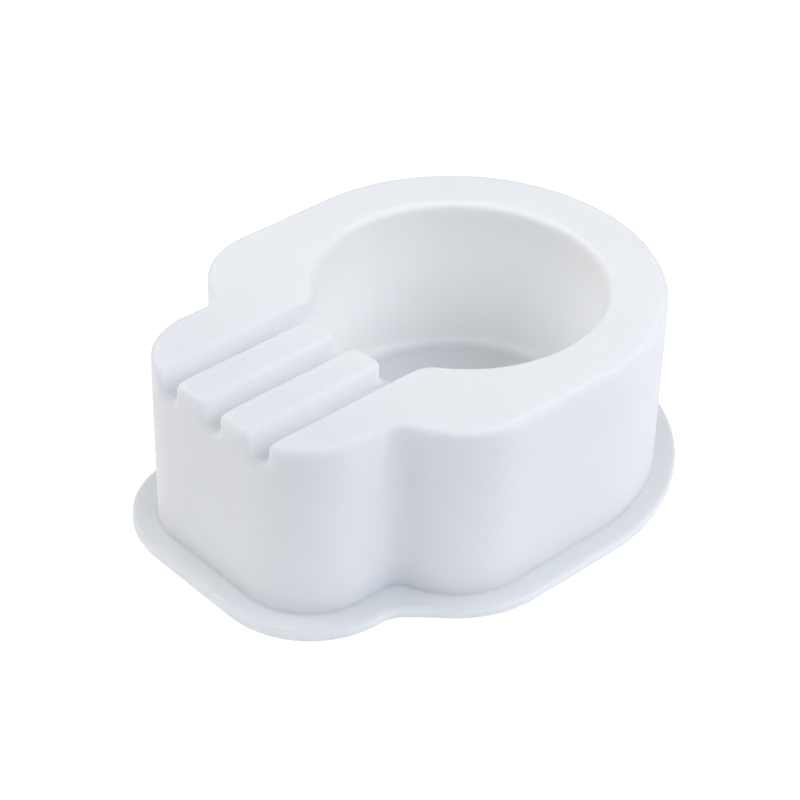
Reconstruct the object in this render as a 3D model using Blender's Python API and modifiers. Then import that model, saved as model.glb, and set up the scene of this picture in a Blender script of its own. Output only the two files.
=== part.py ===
"""Silicone casting mould for a round dish with three rest grooves.

The mould stands upside down on its pouring rim, the way it is stored: the
open mouth is at z = 0 and the closed face is on top.  Metres, +Z up, origin
under the middle of the rim.  The round body lies towards +Y and the square
spout with the three grooves towards -Y.

The real mould is one moulding of even wall thickness.  Here it is divided
along its natural regions, with a hairline gap between neighbours.
"""
import math

import bmesh
import bpy
from mathutils import Vector

# ---------------------------------------------------------------- dimensions
MM = 0.001
GAP = 0.3 * MM                 # hairline between neighbouring regions
WALL = 2.5 * MM                # wall thickness of the whole moulding
HEIGHT = 49.4 * MM             # mouth to closed face

BODY_Y = 14.4 * MM             # axis of the round body and of the well
BODY_R = 50.0 * MM             # outside radius of the round body
SPOUT_HALF = 32.0 * MM         # half width of the spout
SPOUT_END = -78.1 * MM         # spout's end face, measured from the body axis
SPOUT_CORNER = 18.0 * MM       # plan radius of the spout's outer corners
NECK_Y = -53.4 * MM            # where the spout's side turns into the fold
FOLD_R = 6.3 * MM              # hollow radius of the fold
FOLD_ANGLE = 66.0              # how far the fold turns, degrees
SHOULDER_R = 21.1 * MM         # round shoulder between fold and body

RIM_T = 2.9 * MM               # pouring rim's thickness
RIM_Y = 13.75 * MM             # axis of the rim's round end
RIM_R = 55.95 * MM
RIM_HALF = 38.8 * MM
RIM_END = -83.45 * MM
RIM_CORNER = 24.6 * MM
RIM_NECK_Y = -58.6 * MM
RIM_FOLD_R = 9.0 * MM
RIM_FOLD_ANGLE = 43.5
RIM_SHOULDER_R = 29.0 * MM
RIM_EDGE = 0.8 * MM            # rounding of the rim's edge

WELL_R = 35.3 * MM             # inside radius of the well
WELL_DEPTH = 43.1 * MM
WELL_FOOT = 4.0 * MM           # fillet between the well's wall and floor

GROOVE_W = 5.8 * MM            # clear width of a groove
GROOVE_PITCH = 15.6 * MM
GROOVE_MID_X = 0.9 * MM        # the set of grooves sits a little to +X
GROOVE_DEPTH = 6.4 * MM
RIDGE_IN = -36.6 * MM          # ridges' inner ends, from the body axis
RIDGE_CORNER = 3.2 * MM        # plan radius of the ridges' corners
EDGE = 1.6 * MM                # rounding along the closed face's edges

FACE_UNDER = HEIGHT - WALL
FLOOR_TOP = HEIGHT - WELL_DEPTH
GROOVE_FLOOR = HEIGHT - GROOVE_DEPTH
GROOVE_X = [GROOVE_MID_X + i * GROOVE_PITCH for i in (-1, 0, 1)]
SET_LEFT = GROOVE_X[0] - GROOVE_W / 2      # outer walls of the groove set
SET_RIGHT = GROOVE_X[2] + GROOVE_W / 2

# ------------------------------------------------------------------ start up
for old in list(bpy.data.objects):
    bpy.data.objects.remove(old, do_unlink=True)
for block in (bpy.data.meshes, bpy.data.curves, bpy.data.materials):
    for item in list(block):
        block.remove(item)


def collection(name):
    coll = bpy.data.collections.get(name) or bpy.data.collections.new(name)
    if coll.name not in bpy.context.scene.collection.children:
        bpy.context.scene.collection.children.link(coll)
    return coll


PARTS = collection("casting_mould")
CUTTERS = collection("cutters")


# ------------------------------------------------------------- plan outlines
def arc(cx, cy, r, a0, a1, n):
    """n + 1 points on an arc from angle a0 to a1, in radians."""
    return [(cx + r * math.cos(a0 + (a1 - a0) * i / n),
             cy + r * math.sin(a0 + (a1 - a0) * i / n)) for i in range(n + 1)]


def outline(axis_y, radius, half, end, corner, neck_y, fold_r, fold_deg, shoulder_r):
    """Round body with a square spout towards -Y, as one closed loop.

    The half at +X runs from the spout's end round its corner, up its side,
    through the hollow fold and over the round shoulder to the body's arc.
    The shoulder ends on the line x = radius, which meets the arc tangentially.
    """
    g = math.radians(fold_deg)
    pts = arc(half - corner, end + corner, corner, -math.pi / 2, 0.0, 9)
    fold = arc(half + fold_r, neck_y, fold_r, math.pi, math.pi - g, 6)
    pts += fold
    # straight flank between the fold and the shoulder
    px, py = fold[-1]
    reach = (radius - shoulder_r * (1.0 - math.cos(g)) - px) / math.sin(g)
    px, py = px + reach * math.sin(g), py + reach * math.cos(g)
    cx, cy = px - shoulder_r * math.cos(g), py + shoulder_r * math.sin(g)
    pts += arc(cx, cy, shoulder_r, -g, 0.0, 7)
    pts += arc(0.0, 0.0, radius, 0.0, math.pi / 2, 22)
    loop = pts + [(-x, y) for x, y in reversed(pts)]
    clean = []
    for p in loop:
        if not clean or math.dist(p, clean[-1]) > 1e-6:
            clean.append(p)
    if math.dist(clean[0], clean[-1]) < 1e-6:
        clean.pop()
    return [(x, y + axis_y) for x, y in clean]


def body_outline(inset):
    """The body's outline, moved inwards by inset."""
    return outline(BODY_Y, BODY_R - inset, SPOUT_HALF - inset, SPOUT_END + inset,
                   SPOUT_CORNER - inset, NECK_Y, FOLD_R + inset, FOLD_ANGLE,
                   SHOULDER_R - inset)


def rounded_box(x0, x1, y0, y1, r):
    pts = arc(x1 - r, y0 + r, r, -math.pi / 2, 0.0, 5)
    pts += arc(x1 - r, y1 - r, r, 0.0, math.pi / 2, 5)
    pts += arc(x0 + r, y1 - r, r, math.pi / 2, math.pi, 5)
    pts += arc(x0 + r, y0 + r, r, math.pi, 1.5 * math.pi, 5)
    return pts


# ------------------------------------------------------------------- solids
def to_mesh(curve_obj, name, coll):
    """A mesh object with the curve's evaluated shape; the curve is removed."""
    bpy.context.view_layer.update()
    graph = bpy.context.evaluated_depsgraph_get()
    mesh = bpy.data.meshes.new_from_object(curve_obj.evaluated_get(graph))
    bm = bmesh.new()
    bm.from_mesh(mesh)
    bmesh.ops.remove_doubles(bm, verts=bm.verts, dist=1e-6)
    bmesh.ops.recalc_face_normals(bm, faces=bm.faces)
    bm.to_mesh(mesh)
    bm.free()
    obj = bpy.data.objects.new(name, mesh)
    obj.matrix_world = curve_obj.matrix_world
    coll.objects.link(obj)
    data = curve_obj.data
    bpy.data.objects.remove(curve_obj)
    bpy.data.curves.remove(data)
    return obj


def plate(name, loops, z0, z1, coll=None):
    """A flat outline, with any inner loops as holes, from z0 up to z1."""
    curve = bpy.data.curves.new(name + "_outline", "CURVE")
    curve.dimensions = "2D"
    curve.fill_mode = "BOTH"
    curve.extrude = (z1 - z0) / 2
    for loop in loops:
        spline = curve.splines.new("POLY")
        spline.points.add(len(loop) - 1)
        for point, (x, y) in zip(spline.points, loop):
            point.co = (x, y, 0.0, 1.0)
        spline.use_cyclic_u = True
    obj = bpy.data.objects.new(name + "_outline", curve)
    obj.location = (0.0, 0.0, (z0 + z1) / 2)
    (coll or PARTS).objects.link(obj)
    return to_mesh(obj, name, coll or PARTS)


def box(name, x0, x1, y0, y1, z0, z1, coll=None):
    bm = bmesh.new()
    bmesh.ops.create_cube(bm, size=1.0)
    bmesh.ops.scale(bm, vec=(x1 - x0, y1 - y0, z1 - z0), verts=bm.verts)
    mesh = bpy.data.meshes.new(name)
    bm.to_mesh(mesh)
    bm.free()
    obj = bpy.data.objects.new(name, mesh)
    obj.location = ((x0 + x1) / 2, (y0 + y1) / 2, (z0 + z1) / 2)
    (coll or PARTS).objects.link(obj)
    return obj


def cylinder(name, r, z0, z1, segments, coll=None):
    """An upright cylinder on the body's axis."""
    bm = bmesh.new()
    bmesh.ops.create_cone(bm, cap_ends=True, segments=segments, radius1=r, radius2=r,
                          depth=z1 - z0)
    mesh = bpy.data.meshes.new(name)
    bm.to_mesh(mesh)
    bm.free()
    obj = bpy.data.objects.new(name, mesh)
    obj.location = (0.0, BODY_Y, (z0 + z1) / 2)
    (coll or PARTS).objects.link(obj)
    return obj


def cut(obj, cutter, operation="DIFFERENCE"):
    """A live Boolean; the cutter stays in its own collection as wire."""
    cutter.hide_render = True
    cutter.display_type = "WIRE"
    mod = obj.modifiers.new(cutter.name, "BOOLEAN")
    mod.operation = operation
    mod.solver = "EXACT"
    mod.object = cutter
    return obj


def cut_box(obj, name, *extents):
    return cut(obj, box(name, *extents, coll=CUTTERS))


def round_edges(obj, width, segments, pick):
    """Bevel modifier on the sharp edges whose two ends both satisfy pick(point)."""
    mesh = obj.data
    bm = bmesh.new()
    bm.from_mesh(mesh)
    place = obj.matrix_world
    chosen = {e.index for e in bm.edges
              if e.calc_face_angle(0.0) > math.radians(40)
              and all(pick(place @ v.co) for v in e.verts)}
    bm.free()
    weight = mesh.attributes.new("bevel_weight_edge", "FLOAT", "EDGE")
    for index in chosen:
        weight.data[index].value = 1.0
    mod = obj.modifiers.new("round", "BEVEL")
    mod.limit_method = "WEIGHT"
    mod.width = width
    mod.segments = segments
    return obj


def bake(obj):
    """Turns the object's modifiers so far into plain mesh."""
    bpy.context.view_layer.update()
    graph = bpy.context.evaluated_depsgraph_get()
    mesh = bpy.data.meshes.new_from_object(obj.evaluated_get(graph))
    obj.modifiers.clear()
    old, obj.data = obj.data, mesh
    bpy.data.meshes.remove(old)
    return obj


# ------------------------------------------------------------- pouring rim
rim = plate("pour_rim", [
    outline(RIM_Y, RIM_R, RIM_HALF, RIM_END, RIM_CORNER, RIM_NECK_Y, RIM_FOLD_R,
            RIM_FOLD_ANGLE, RIM_SHOULDER_R),
    body_outline(WALL)], 0.0, RIM_T)
# the rounding is on the outer edge only, so the mouth's corners are left out
mouth = [Vector(p) for p in body_outline(WALL)]
round_edges(rim, RIM_EDGE, 2,
            lambda p: min((p.xy - m).length for m in mouth) > WALL)

# ------------------------------------------------------------- outer walls
WALL_LOW, WALL_HIGH = RIM_T + GAP, FACE_UNDER - GAP
SPLIT_Y = BODY_Y + NECK_Y - 0.6 * MM       # the walls part where the fold begins
bowl_wall = plate("bowl_wall", [body_outline(0.0), body_outline(WALL)], WALL_LOW, WALL_HIGH)
cut_box(bowl_wall, "bowl_wall_trim", -0.1, 0.1, -0.2, SPLIT_Y + GAP / 2, -0.01, 0.1)
spout_wall = plate("spout_wall", [body_outline(0.0), body_outline(WALL)], WALL_LOW, WALL_HIGH)
cut_box(spout_wall, "spout_wall_trim", -0.1, 0.1, SPLIT_Y - GAP / 2, 0.2, -0.01, 0.1)
# the grooves' floors and sides lie in a notch in the spout's top edge
SET_X0, SET_X1 = SET_LEFT - WALL - GAP, SET_RIGHT + WALL + GAP
NOTCH_Z = GROOVE_FLOOR - WALL - GAP
cut_box(spout_wall, "spout_wall_notch", SET_X0, SET_X1, -0.1, BODY_Y + NECK_Y - 8 * MM, NOTCH_Z, 0.1)

# -------------------------------------------------------------- closed face
WELL_STEPS = 64
well_loop = [(x, y + BODY_Y) for x, y in arc(0, 0, WELL_R, 0, 2 * math.pi, WELL_STEPS)[:-1]]
face = plate("face_plate", [body_outline(0.0), well_loop], FACE_UNDER, HEIGHT)
cut_box(face, "face_slot", SET_LEFT, SET_RIGHT, -0.1, BODY_Y - 20 * MM, 0.0, 0.1)
bake(face)
round_edges(face, EDGE, 3, lambda p: p.z > HEIGHT - 1e-5)

# ------------------------------------------------- ridges between the grooves
SPOUT_Y = BODY_Y + SPOUT_END
for i in (0, 1):
    x0 = GROOVE_X[i] + GROOVE_W / 2
    x1 = GROOVE_X[i + 1] - GROOVE_W / 2
    y0, y1 = SPOUT_Y, BODY_Y + RIDGE_IN
    ridge = plate("ridge_%d" % (i + 1), [rounded_box(x0, x1, y0, y1, RIDGE_CORNER)],
                  GROOVE_FLOOR + GAP, HEIGHT)
    round_edges(ridge, EDGE, 3, lambda p: p.z > HEIGHT - 1e-5)
    bake(ridge)
    # hollow under the ridge, open downwards into the mould's cavity
    cut_box(ridge, "ridge_%d_hollow" % (i + 1), x0 + WALL, x1 - WALL, y0 + WALL, y1 - WALL,
            0.0, FACE_UNDER)

# ------------------------------------------------------------- groove floors
for i, gx in enumerate(GROOVE_X):
    floor = box("groove_floor_%d" % (i + 1), gx - GROOVE_W / 2 - WALL, gx + GROOVE_W / 2 + WALL,
                SPOUT_Y, BODY_Y - 20 * MM, GROOVE_FLOOR - WALL, GROOVE_FLOOR)
    cut(floor, cylinder("groove_floor_%d_end" % (i + 1), WELL_R, 0.0, 0.1, WELL_STEPS, CUTTERS))
    # its outer end follows the spout's rounded corner
    cut(floor, plate("groove_floor_%d_limit" % (i + 1), [body_outline(0.0)], 0.0, 0.1, CUTTERS),
        "INTERSECT")

# --------------------------------------------- side walls of the groove set
for name, x0, x1 in (("groove_side_left", SET_LEFT - WALL, SET_LEFT),
                     ("groove_side_right", SET_RIGHT, SET_RIGHT + WALL)):
    side = box(name, x0, x1, SPOUT_Y, BODY_Y - 20 * MM, GROOVE_FLOOR + GAP, FACE_UNDER - GAP)
    cut(side, cylinder(name + "_end", WELL_R, 0.0, 0.1, WELL_STEPS, CUTTERS))
    # the end stays inside the spout's rounded corner
    cut(side, plate(name + "_limit", [body_outline(0.0)], 0.0, 0.1, CUTTERS), "INTERSECT")


# ------------------------------------------------------------------- the well
def turned(name, profile, steps):
    """A closed profile in the XZ plane turned about the body's axis."""
    mesh = bpy.data.meshes.new(name)
    n = len(profile)
    mesh.from_pydata([(x, 0.0, z) for x, z in profile],
                     [(i, (i + 1) % n) for i in range(n)], [])
    obj = bpy.data.objects.new(name, mesh)
    obj.location = (0.0, BODY_Y, 0.0)
    PARTS.objects.link(obj)
    mod = obj.modifiers.new("turn", "SCREW")
    mod.axis = "Z"
    mod.angle = 2 * math.pi
    mod.steps = steps
    mod.render_steps = steps
    mod.use_merge_vertices = True
    mod.merge_threshold = 1e-5
    return obj


OUT_R = WELL_R + WALL
foot = [(x, z) for x, z in arc(WELL_R - WELL_FOOT, FLOOR_TOP + WELL_FOOT, WELL_FOOT,
                               -math.pi / 2 + 0.35, 0.0, 4)]
profile = [(OUT_R, FACE_UNDER - GAP), (OUT_R, FLOOR_TOP + GAP),
           (foot[0][0], FLOOR_TOP + GAP)] + foot[1:] + [(WELL_R, FACE_UNDER - GAP)]
well_wall = turned("well_wall", profile, WELL_STEPS)
cut_box(well_wall, "well_wall_notch", SET_X0, SET_X1, -0.1, BODY_Y - 5 * MM, NOTCH_Z, 0.1)
cylinder("well_floor", OUT_R, FLOOR_TOP - WALL, FLOOR_TOP, WELL_STEPS)

# ---------------------------------------------------------------- materials
for obj in PARTS.objects:
    mat = bpy.data.materials.new(obj.name + "_silicone")
    mat.use_nodes = True
    bsdf = mat.node_tree.nodes["Principled BSDF"]
    bsdf.inputs["Base Color"].default_value = (0.88, 0.90, 0.92, 1.0)
    bsdf.inputs["Roughness"].default_value = 0.42
    bsdf.inputs["Metallic"].default_value = 0.0
    bsdf.inputs["IOR"].default_value = 1.41
    bsdf.inputs["Subsurface Weight"].default_value = 0.6
    bsdf.inputs["Subsurface Radius"].default_value = (0.006, 0.006, 0.006)
    obj.data.materials.clear()
    obj.data.materials.append(mat)
    obj.data.shade_smooth()
    obj.data.set_sharp_from_angle(angle=math.radians(30))
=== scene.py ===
"""Looks of the silicone casting mould: one seamless satin skin over the frame.

The mould is a single moulding, so its visible surface is a single closed skin.
It is computed from the design's own distances (outline, well, grooves, rim and
wall thickness), with every edge rounded as a moulded part's edges are.
"""

import math

import bmesh
import bpy
import numpy as np
from mathutils import Matrix, Vector


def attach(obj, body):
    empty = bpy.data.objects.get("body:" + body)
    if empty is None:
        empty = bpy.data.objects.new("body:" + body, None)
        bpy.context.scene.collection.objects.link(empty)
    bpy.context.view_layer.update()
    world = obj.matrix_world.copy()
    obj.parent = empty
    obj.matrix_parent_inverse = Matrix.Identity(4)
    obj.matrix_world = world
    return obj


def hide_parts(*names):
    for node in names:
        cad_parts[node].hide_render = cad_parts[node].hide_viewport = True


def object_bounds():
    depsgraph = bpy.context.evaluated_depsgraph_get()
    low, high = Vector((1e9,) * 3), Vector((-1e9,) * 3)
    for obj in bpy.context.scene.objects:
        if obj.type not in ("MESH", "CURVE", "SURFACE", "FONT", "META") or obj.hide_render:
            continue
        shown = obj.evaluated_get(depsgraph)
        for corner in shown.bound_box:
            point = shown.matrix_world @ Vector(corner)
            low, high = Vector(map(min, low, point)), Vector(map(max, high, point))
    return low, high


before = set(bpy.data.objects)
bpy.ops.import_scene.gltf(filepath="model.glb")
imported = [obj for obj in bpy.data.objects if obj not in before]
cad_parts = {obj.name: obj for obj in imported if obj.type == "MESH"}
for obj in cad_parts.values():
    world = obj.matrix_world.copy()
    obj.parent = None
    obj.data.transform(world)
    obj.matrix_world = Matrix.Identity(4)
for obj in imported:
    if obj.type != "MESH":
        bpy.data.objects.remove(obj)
cad_low, cad_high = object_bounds()

# ------------------------------------------------ dimensions, in millimetres
H = (cad_high.z - cad_low.z) * 1000.0       # mouth to closed face
WALL = 2.5
AXIS_Y = 14.4                               # axis of the round body
BODY = dict(y=14.4, R=50.0, half=32.0, end=-78.1, corner=18.0, neck=-53.4,
            fold=6.3, turn=66.0, shoulder=21.1)
RIM = dict(y=13.75, R=55.9, half=38.75, end=-83.4, corner=24.6, neck=-58.6,
           fold=9.0, turn=43.5, shoulder=29.0)
RIM_T = 2.9
WELL_R, WELL_DEPTH, WELL_FOOT = 35.3, 43.1, 4.0
GROOVE_W, PITCH, MID_X, GROOVE_D = 5.8, 15.6, 0.9, 6.4
RIDGE_IN, RIDGE_CORNER = -36.6, 3.2
R_TOP = 1.7          # rounding of the closed face's edges
R_LIP = 1.25         # and of the grooves' long edges
R_END = 2.3          # rounding where the grooves break through the end face
R_WELL = 3.0         # rounding where the grooves break into the well
R_ROOT = 2.7         # fillet along a groove's floor
R_RIM = 0.8          # rounding of the rim's upper edge and of its root
R_MOUTH = 0.6        # rounding of the edges at the mouth


# ------------------------------------------------------- distance functions
def outline_distance(x, y, o):
    """Signed distance in plan to the outline of a round body with a spout."""
    x = np.abs(x)
    y = y - o["y"]
    g = math.radians(o["turn"])
    half, end, corner, neck, fold = o["half"], o["end"], o["corner"], o["neck"], o["fold"]
    R, sh = o["R"], o["shoulder"]
    p1 = np.array([half + fold - fold * math.cos(g), neck + fold * math.sin(g)])
    reach = (R - sh * (1 - math.cos(g)) - p1[0]) / math.sin(g)
    p2 = p1 + reach * np.array([math.sin(g), math.cos(g)])
    c2 = p2 - sh * np.array([math.cos(g), -math.sin(g)])
    best = np.full(np.broadcast(x, y).shape, 1e9)
    sign = np.ones_like(best)

    def take(dist, side):
        nonlocal best, sign
        near = dist < best
        best = np.where(near, dist, best)
        sign = np.where(near, side, sign)

    def line(a, b, n):
        ax, ay = a
        dx, dy = b[0] - ax, b[1] - ay
        t = np.clip(((x - ax) * dx + (y - ay) * dy) / (dx * dx + dy * dy), 0.0, 1.0)
        qx, qy = x - ax - t * dx, y - ay - t * dy
        take(np.hypot(qx, qy), np.where(qx * n[0] + qy * n[1] < 0, -1.0, 1.0))

    def arc(c, r, a0, a1, hollow=False):
        vx, vy = x - c[0], y - c[1]
        mid, span = (a0 + a1) / 2, abs(a1 - a0) / 2
        ang = np.arctan2(vy, vx) - mid
        ang = (ang + math.pi) % (2 * math.pi) - math.pi
        ang = np.clip(ang, -span, span) + mid
        qx, qy = vx - r * np.cos(ang), vy - r * np.sin(ang)
        out = qx * np.cos(ang) + qy * np.sin(ang)
        take(np.hypot(qx, qy), np.where((out < 0) != hollow, -1.0, 1.0))

    line((0.0, end), (half - corner, end), (0, -1))
    arc((half - corner, end + corner), corner, -math.pi / 2, 0.0)
    line((half, end + corner), (half, neck), (1, 0))
    arc((half + fold, neck), fold, math.pi - g, math.pi, hollow=True)
    line(p1, p2, (math.cos(g), -math.sin(g)))
    arc(c2, sh, -g, 0.0)
    line((R, c2[1]), (R, 0.0), (1, 0))
    arc((0.0, 0.0), R, 0.0, math.pi / 2)
    return best * sign


def both(a, b, r):
    """Common part of two solids, its edge rounded with radius r."""
    return np.minimum(-r, np.maximum(a, b)) + np.hypot(np.maximum(a + r, 0), np.maximum(b + r, 0))


def either(a, b, r):
    """Two solids joined, with a fillet of radius r in the corner between them."""
    return np.maximum(r, np.minimum(a, b)) - np.hypot(np.maximum(r - a, 0), np.maximum(r - b, 0))


def plan(x, y):
    """Everything that depends on the plan position only."""
    rad = np.hypot(x, y - AXIS_Y)
    left = MID_X - PITCH - GROOVE_W / 2
    right = MID_X + PITCH + GROOVE_W / 2
    groove_set = np.maximum(np.abs(x - (left + right) / 2) - (right - left) / 2, y - AXIS_Y)
    for i in (-0.5, 0.5):
        cx, hw, c = MID_X + i * PITCH, (PITCH - GROOVE_W) / 2, RIDGE_CORNER
        dx = np.abs(x - cx) - hw
        dy = y - (AXIS_Y + RIDGE_IN)
        ridge = np.minimum(np.maximum(dx, dy), -c) + np.hypot(np.maximum(dx + c, 0), np.maximum(dy + c, 0))
        groove_set = np.maximum(groove_set, -ridge)
    return (outline_distance(x, y, BODY), outline_distance(x, y, RIM), rad - WELL_R, groove_set)


def field(p, z):
    """Signed distance to the mould's surface, negative in the silicone."""
    body, rim, well, grooves = p
    pocket = both(grooves, (H - GROOVE_D) - z, R_ROOT)
    core = both(well, (H - WELL_DEPTH) - z, WELL_FOOT)
    block = both(body, -pocket, R_END)
    block = both(block, -core, R_WELL)
    lip = (np.clip(1.6 - np.abs(grooves) / 1.8, 0, 1) * np.clip((-body - 2.0) / 3.0, 0, 1)
           * np.clip((well - 1.0) / 3.0, 0, 1))
    r_top = R_TOP + (R_LIP - R_TOP) * lip
    outside = either(both(block, z - H, r_top), both(rim, z - RIM_T, R_RIM), R_RIM)
    cavity = both(block, z - H, WALL + 0.8) + WALL
    shell = np.maximum(outside, -cavity)
    return both(shell, -z, R_MOUTH)


def at(v):
    return field(plan(v[:, 0], v[:, 1]), v[:, 2])


def gradient(v, h=0.02):
    g = np.empty_like(v)
    for k in range(3):
        d = np.zeros(3)
        d[k] = h
        g[:, k] = (at(v + d) - at(v - d)) / (2 * h)
    return g


# --------------------------------------------------------------- the mesh
def surface(xs, ys, zs):
    """Quads over the zero surface, one vertex for each cell that it crosses."""
    px, py = np.meshgrid(xs, ys, indexing="ij")
    flat = plan(px, py)
    val = np.stack([field(flat, z) for z in zs], axis=2)
    val[np.abs(val) < 1e-6] = 1e-6
    inside = val < 0
    nx, ny, nz = val.shape
    cells = (nx - 1, ny - 1, nz - 1)
    total = np.zeros((int(np.prod(cells)), 3))
    count = np.zeros(len(total))
    axes = (xs, ys, zs)
    quads = []
    for a in range(3):
        lo = [slice(None)] * 3
        hi = [slice(None)] * 3
        lo[a], hi[a] = slice(0, -1), slice(1, None)
        crossing = inside[tuple(lo)] != inside[tuple(hi)]
        idx = np.argwhere(crossing)
        up = idx.copy()
        up[:, a] += 1
        v0, v1 = val[tuple(idx.T)], val[tuple(up.T)]
        t = v0 / (v0 - v1)
        pos = np.stack([axes[k][idx[:, k]] for k in range(3)], 1)
        pos[:, a] += t * (axes[a][up[:, a]] - axes[a][idx[:, a]])
        b, c = (a + 1) % 3, (a + 2) % 3
        ok = (idx[:, b] > 0) & (idx[:, c] > 0) & (idx[:, b] < cells[b]) & (idx[:, c] < cells[c])
        idx, pos, going_in = idx[ok], pos[ok], v0[ok] > 0
        corner = []
        for db, dc in ((-1, -1), (0, -1), (0, 0), (-1, 0)):
            cell = idx.copy()
            cell[:, b] += db
            cell[:, c] += dc
            lin = np.ravel_multi_index(cell.T, cells)
            for k in range(3):
                total[:, k] += np.bincount(lin, pos[:, k], len(total))
            count += np.bincount(lin, minlength=len(total))
            corner.append(lin)
        quad = np.stack(corner, 1)
        quad[going_in] = quad[going_in][:, ::-1]
        quads.append(quad)
    quads = np.concatenate(quads)
    used = np.unique(quads)
    verts = total[used] / count[used][:, None]
    return verts, np.searchsorted(used, quads)


def onto_surface(v, steps=4):
    for _ in range(steps):
        g = gradient(v)
        n2 = np.maximum((g * g).sum(1), 0.25)
        d = np.clip(at(v), -0.6, 0.6)
        v = v - g * (d / n2)[:, None]
    return v


def levels(*runs):
    """Coordinates from runs of (start, end, step)."""
    out = []
    for a, b, step in runs:
        n = max(1, round((b - a) / step))
        out += [a + (b - a) * i / n for i in range(n)]
    out.append(runs[-1][1])
    return np.array(out) + 0.0137


def mesh_from(name, verts, faces):
    mesh = bpy.data.meshes.new(name)
    mesh.from_pydata((verts / 1000.0).tolist(), [], faces.tolist())
    mesh.update()
    obj = bpy.data.objects.new(name, mesh)
    bpy.context.scene.collection.objects.link(obj)
    return obj


step = 0.55
xs = levels((-57.5, 57.5, step))
ys = levels((-71.5, 71.5, step))
zs = levels((-1.0, 3.9, 0.45), (3.9, 11.0, 0.6), (11.0, 39.0, 4.0), (39.0, H + 1.0, 0.45))
verts, faces = surface(xs, ys, zs)
verts = onto_surface(verts)
skin = mesh_from("silicone_mould", verts, faces)

# flat stretches need few faces and rounded edges many
thin = skin.modifiers.new("thin", "DECIMATE")
thin.ratio = min(1.0, 185000 / (2 * len(faces)))
bpy.context.view_layer.update()
mesh = bpy.data.meshes.new_from_object(
    skin.evaluated_get(bpy.context.evaluated_depsgraph_get()))
skin.modifiers.clear()
skin.data = mesh
mesh = skin.data
v = np.empty(len(mesh.vertices) * 3)
mesh.vertices.foreach_get("co", v)
v = onto_surface(v.reshape(-1, 3) * 1000.0, 3)
mesh.vertices.foreach_set("co", (v / 1000.0).astype(np.float32).ravel())
normals = gradient(v)
normals /= np.maximum(np.linalg.norm(normals, axis=1, keepdims=True), 1e-9)
mesh.shade_smooth()
mesh.normals_split_custom_set_from_vertices(normals.tolist())
mesh.update()
print("skin", len(mesh.vertices), "vertices", len(mesh.polygons), "faces")

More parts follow.
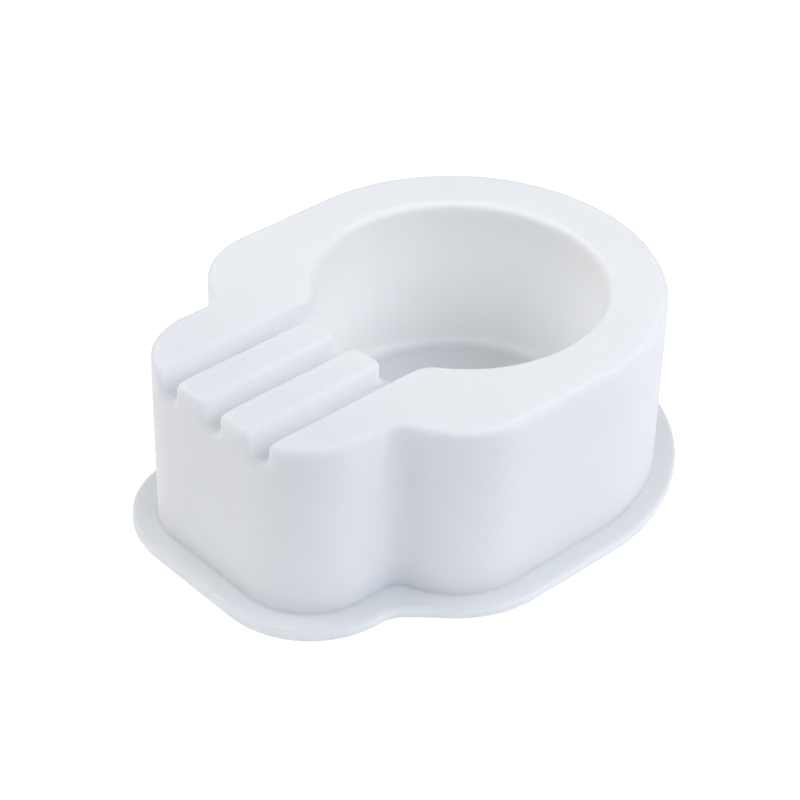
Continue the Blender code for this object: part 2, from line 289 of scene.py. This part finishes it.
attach(skin, "root")
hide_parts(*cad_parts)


# ------------------------------------------------------------- the material
def silicone():
    mat = bpy.data.materials.new("satin_white_silicone")
    mat.use_nodes = True
    nt = mat.node_tree
    bsdf = nt.nodes["Principled BSDF"]
    coord = nt.nodes.new("ShaderNodeTexCoord")

    def noise(scale, detail, rough):
        n = nt.nodes.new("ShaderNodeTexNoise")
        n.inputs["Scale"].default_value = scale
        n.inputs["Detail"].default_value = detail
        n.inputs["Roughness"].default_value = rough
        nt.links.new(coord.outputs["Object"], n.inputs["Vector"])
        return n

    def ramp(value, a, b, to_a=0.0, to_b=1.0, smooth=False):
        n = nt.nodes.new("ShaderNodeMapRange")
        n.interpolation_type = "SMOOTHSTEP" if smooth else "LINEAR"
        n.inputs["From Min"].default_value = a
        n.inputs["From Max"].default_value = b
        n.inputs["To Min"].default_value = to_a
        n.inputs["To Max"].default_value = to_b
        nt.links.new(value, n.inputs["Value"])
        return n.outputs["Result"]

    def blend_colour(factor, a, b):
        n = nt.nodes.new("ShaderNodeMix")
        n.data_type = "RGBA"
        nt.links.new(factor, n.inputs["Factor"])
        for socket, value in ((n.inputs[6], a), (n.inputs[7], b)):
            if isinstance(value, tuple):
                socket.default_value = value
            else:
                nt.links.new(value, socket)
        return n.outputs[2]

    # faint clouding in the rubber, with a finer mottle over it
    cloud = ramp(noise(24.0, 3.0, 0.5).outputs["Fac"], 0.32, 0.68)
    mottle = ramp(noise(210.0, 3.0, 0.6).outputs["Fac"], 0.3, 0.7)
    body = blend_colour(cloud, (0.863, 0.875, 0.904, 1.0), (0.884, 0.895, 0.923, 1.0))
    body = blend_colour(mottle, body, (0.876, 0.887, 0.916, 1.0))
    # painted light: the well's inner wall is coloured a shade lighter, standing in for light that shines
    # through the thin silicone walls
    place = nt.nodes.new("ShaderNodeSeparateXYZ")
    nt.links.new(coord.outputs["Object"], place.inputs[0])
    facing = nt.nodes.new("ShaderNodeSeparateXYZ")
    nt.links.new(coord.outputs["Normal"], facing.inputs[0])
    axis = nt.nodes.new("ShaderNodeVectorMath")
    axis.operation = "DISTANCE"
    level = nt.nodes.new("ShaderNodeCombineXYZ")
    nt.links.new(place.outputs["Z"], level.inputs["Z"])
    level.inputs["Y"].default_value = AXIS_Y / 1000.0
    nt.links.new(coord.outputs["Object"], axis.inputs[0])
    nt.links.new(level.outputs["Vector"], axis.inputs[1])
    well = ramp(axis.outputs["Value"], 0.0366, 0.0352, smooth=True)
    body = blend_colour(well, body, (0.975, 0.985, 0.995, 1.0))
    # painted shade: faces turned upwards are coloured greyer on the well's floor and on the rim, and more
    # faintly on the top of the spout
    flat = ramp(facing.outputs["Z"], 0.15, 1.0, smooth=True)
    for along, v0, v1, shaded_tone in (("Y", -0.0180, -0.0520, (0.829, 0.840, 0.868, 1.0)),
                                ("Z", 0.0105, 0.0065, (0.740, 0.750, 0.762, 1.0)),
                                ("Z", 0.0042, 0.0034, (0.778, 0.790, 0.806, 1.0))):
        painted_shade_mask = nt.nodes.new("ShaderNodeMath")
        painted_shade_mask.operation = "MULTIPLY"
        nt.links.new(ramp(place.outputs[along], v0, v1, smooth=True), painted_shade_mask.inputs[0])
        nt.links.new(flat, painted_shade_mask.inputs[1])
        body = blend_colour(painted_shade_mask.outputs[0], body, shaded_tone)
    colour = body
    nt.links.new(colour, bsdf.inputs["Base Color"])

    # patches a little glossier than others, as a demoulded surface has
    nt.links.new(ramp(noise(55.0, 4.0, 0.6).outputs["Fac"], 0.3, 0.7, 0.50, 0.60),
                 bsdf.inputs["Roughness"])

    # matt tooling texture, and the slight unevenness of a soft moulding
    bump_fine = nt.nodes.new("ShaderNodeBump")
    bump_fine.inputs["Strength"].default_value = 0.10
    bump_fine.inputs["Distance"].default_value = 0.00006
    nt.links.new(noise(2200.0, 2.0, 0.5).outputs["Fac"], bump_fine.inputs["Height"])
    bump_wave = nt.nodes.new("ShaderNodeBump")
    bump_wave.inputs["Strength"].default_value = 0.25
    bump_wave.inputs["Distance"].default_value = 0.0004
    nt.links.new(noise(45.0, 2.0, 0.5).outputs["Fac"], bump_wave.inputs["Height"])
    nt.links.new(bump_fine.outputs["Normal"], bump_wave.inputs["Normal"])
    nt.links.new(bump_wave.outputs["Normal"], bsdf.inputs["Normal"])

    bsdf.subsurface_method = "RANDOM_WALK"
    bsdf.inputs["Subsurface Weight"].default_value = 1.0
    bsdf.inputs["Subsurface Radius"].default_value = (1.0, 1.0, 1.0)
    bsdf.inputs["Subsurface Scale"].default_value = 0.002
    bsdf.inputs["IOR"].default_value = 1.41
    return mat


skin.data.materials.clear()
skin.data.materials.append(silicone())

# ---------------------------------------------------------- floor and light
scene = bpy.context.scene
bm = bmesh.new()
bmesh.ops.create_circle(bm, cap_ends=True, segments=96, radius=1.2)
floor_mesh = bpy.data.meshes.new("floor")
bm.to_mesh(floor_mesh)
bm.free()
floor = bpy.data.objects.new("floor", floor_mesh)
floor.location = (0, 0, -0.0002)
scene.collection.objects.link(floor)
floor_mat = bpy.data.materials.new("pale_floor")
floor_mat.use_nodes = True
fnt = floor_mat.node_tree
fb = fnt.nodes["Principled BSDF"]
fb.inputs["Base Color"].default_value = (0.95, 0.95, 0.95, 1)
fb.inputs["Roughness"].default_value = 0.8
fb.inputs["Specular IOR Level"].default_value = 0.1
fb.inputs["Emission Color"].default_value = (1, 1, 1, 1)
# lit separately, so that it stays white to the eye and adds little light of its own
glow = fnt.nodes.new("ShaderNodeMapRange")
glow.inputs["To Min"].default_value = 0.12
glow.inputs["To Max"].default_value = 0.36
fnt.links.new(fnt.nodes.new("ShaderNodeLightPath").outputs["Is Camera Ray"], glow.inputs["Value"])
fnt.links.new(glow.outputs["Result"], fb.inputs["Emission Strength"])
# the floor fades out into the white surroundings, and is open seen from below
fcoord = fnt.nodes.new("ShaderNodeTexCoord")
reach = fnt.nodes.new("ShaderNodeVectorMath")
reach.operation = "LENGTH"
fnt.links.new(fcoord.outputs["Object"], reach.inputs[0])
fade = fnt.nodes.new("ShaderNodeMapRange")
fade.interpolation_type = "SMOOTHSTEP"
fade.inputs["From Min"].default_value = 0.22
fade.inputs["From Max"].default_value = 0.60
fnt.links.new(reach.outputs["Value"], fade.inputs["Value"])
side = fnt.nodes.new("ShaderNodeNewGeometry")
gone = fnt.nodes.new("ShaderNodeMath")
gone.operation = "MAXIMUM"
fnt.links.new(fade.outputs["Result"], gone.inputs[0])
fnt.links.new(side.outputs["Backfacing"], gone.inputs[1])
clear = fnt.nodes.new("ShaderNodeBsdfTransparent")
fmix = fnt.nodes.new("ShaderNodeMixShader")
fnt.links.new(gone.outputs["Value"], fmix.inputs["Fac"])
fnt.links.new(fb.outputs["BSDF"], fmix.inputs[1])
fnt.links.new(clear.outputs["BSDF"], fmix.inputs[2])
fnt.links.new(fmix.outputs["Shader"], fnt.nodes["Material Output"].inputs["Surface"])
floor.data.materials.append(floor_mat)

# a white room, which adds only a little light of its own
world = bpy.data.worlds.new("studio")
scene.world = world
world.use_nodes = True
wnt = world.node_tree
bg = wnt.nodes["Background"]
bg.inputs["Color"].default_value = (1.0, 1.0, 1.0, 1)
seen = wnt.nodes.new("ShaderNodeLightPath")
level = wnt.nodes.new("ShaderNodeMapRange")
level.inputs["To Min"].default_value = 0.02
level.inputs["To Max"].default_value = 1.0
wnt.links.new(seen.outputs["Is Camera Ray"], level.inputs["Value"])
wnt.links.new(level.outputs["Result"], bg.inputs["Strength"])

CAM_AZ = 47.01


def softbox(name, turn, elevation, share, near=False, colour=(1, 1, 1)):
    """A square softbox, turned about the object from the camera's side of it."""
    a, e = math.radians(CAM_AZ + turn), math.radians(elevation)
    d = Vector((math.sin(a) * math.cos(e), -math.cos(a) * math.cos(e), math.sin(e)))
    data = bpy.data.lights.new(name, "AREA")
    data.shape = "SQUARE"
    data.size = 0.3 if near else 0.7
    data.energy = share * (2.0 if near else 10.0)
    data.color = colour
    obj = bpy.data.objects.new(name, data)
    obj.location = d * (0.45 if near else 1.1)
    obj.rotation_euler = (Vector((0, 0, 0.02)) - obj.location).to_track_quat("-Z", "Y").to_euler()
    scene.collection.objects.link(obj)
    return obj


softbox("front_right", 45, 40, 0.456, colour=(0.92, 0.99, 1.09))
softbox("front_left", -45, 40, 0.215)
softbox("left", -90, 40, 0.200)
softbox("near_right", 90, 45, 0.350, near=True)
softbox("near_left", -90, 45, 0.175, near=True)
softbox("near_back_left", -135, 45, 0.222, near=True)
softbox("near_back_right", 135, 45, 0.078, near=True)

# ------------------------------------------------------------------- camera
AZ, EL, ROLL = math.radians(CAM_AZ), math.radians(36.28), math.radians(-1.41)
DIST = 0.63605
target = Vector((-0.02287, 0.00238 + AXIS_Y / 1000.0, 0.0))
back = Vector((math.sin(AZ) * math.cos(EL), -math.cos(AZ) * math.cos(EL), math.sin(EL)))
right = (-back).cross(Vector((0, 0, 1))).normalized()
down = (-back).cross(right)
right2 = right * math.cos(ROLL) + down * math.sin(ROLL)
down2 = -right * math.sin(ROLL) + down * math.cos(ROLL)
cam_data = bpy.data.cameras.new("camera")
cam_data.sensor_width = 36.0
cam_data.lens = 2464.59 / 800 * 36.0
cam_data.clip_start, cam_data.clip_end = 0.05, 20.0
cam = bpy.data.objects.new("camera", cam_data)
m = Matrix((right2, -down2, back)).transposed().to_4x4()
m.translation = target + back * DIST
cam.matrix_world = m
scene.collection.objects.link(cam)
scene.camera = cam
scene.view_settings.view_transform = "Standard"
scene.view_settings.look = "None"
